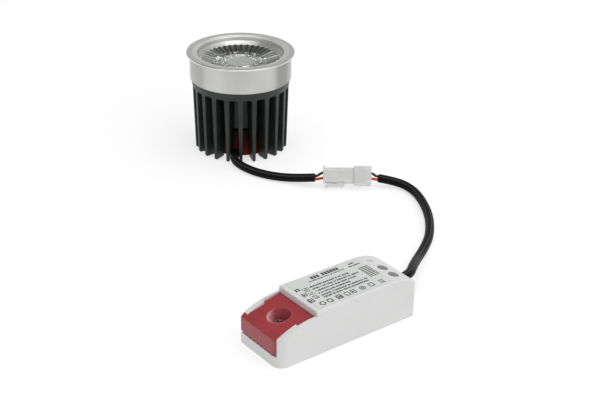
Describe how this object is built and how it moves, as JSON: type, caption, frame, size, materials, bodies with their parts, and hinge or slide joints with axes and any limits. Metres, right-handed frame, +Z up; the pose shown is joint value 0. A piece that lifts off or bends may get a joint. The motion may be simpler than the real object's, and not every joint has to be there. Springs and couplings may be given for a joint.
{
  "type": "led module",
  "caption": "Round LED spot module with a finned heatsink, joined by short leads and a plug to a slim mains driver with a see-through red terminal cover.",
  "frame": {"origin": "middle of the object's base on the surface it lies on, with the free leads left out of the box", "axes": "+X along the driver from its mains end to its lead end, +Y from the driver towards the module, +Z up out of the module's front"},
  "size_m": [0.1312, 0.1892, 0.0469],
  "materials": {
    "heatsink": "satin dark grey paint on a casting",
    "ring": "fine satin",
    "lens": "clear moulded optic",
    "holder": "matt white",
    "pad": "soft grey",
    "led_board": "white mask on metal",
    "emitter": "yellow gel",
    "steel": "zinc plated",
    "rear_cap": "dark red, fine texture",
    "black_plastic": "fine texture",
    "sheath": "satin black",
    "red_wire": "gloss red",
    "black_wire": "gloss black",
    "connector": "milky white",
    "contacts": "tin plated",
    "housing": "fine spark texture, off-white",
    "base": "fine spark texture, off-white",
    "cover": "see-through red",
    "label": "satin print",
    "roof_plugs": "grey",
    "circuit_board": "green mask",
    "terminal_block": "matt green",
    "film_capacitor": "yellow box",
    "black_resin": "moulded resin",
    "ferrite": "sintered, satin",
    "copper": "enamelled copper wire",
    "tape": "yellow tape",
    "sleeve": "shrunk sleeve"
  },
  "bodies": {
    "root": {"heatsink": "heatsink", "front_ring": "ring", "lens": "lens", "lens_holder": "holder", "thermal_pad": "pad", "led_board": "led_board", "led_emitter": "emitter", "holder_screws": "steel", "rear_cap": "rear_cap", "cap_screws": "steel", "lead_saddle": "black_plastic", "saddle_screws": "steel", "red_feed_wire": "red_wire", "black_feed_wire": "black_wire", "module_lead": "sheath", "driver_lead": "sheath", "plug_housing": "connector", "socket_housing": "connector", "plug_contacts": "contacts", "socket_contacts": "contacts", "module_black_wire": "black_wire", "module_red_wire": "red_wire", "driver_black_wire": "black_wire", "driver_red_wire": "red_wire", "driver_housing": "housing", "roof_plugs": "roof_plugs", "terminal_cover": "cover", "cover_screw": "steel", "driver_base": "base", "lead_clamp": "black_plastic", "clamp_screws": "steel", "rating_label": "label", "circuit_board": "circuit_board", "mains_terminal_block": "terminal_block", "terminal_screws": "steel", "film_capacitor": "film_capacitor", "bridge_rectifier": "black_resin", "line_inductor_core": "ferrite", "inductor_winding": "copper", "input_capacitor": "sleeve", "transformer_core": "ferrite", "transformer_bobbin": "black_plastic", "transformer_winding": "tape", "output_capacitor": "sleeve", "control_chip": "black_resin", "output_diode": "black_resin", "red_output_wire": "red_wire", "black_output_wire": "black_wire"}
  },
  "joints": []
}
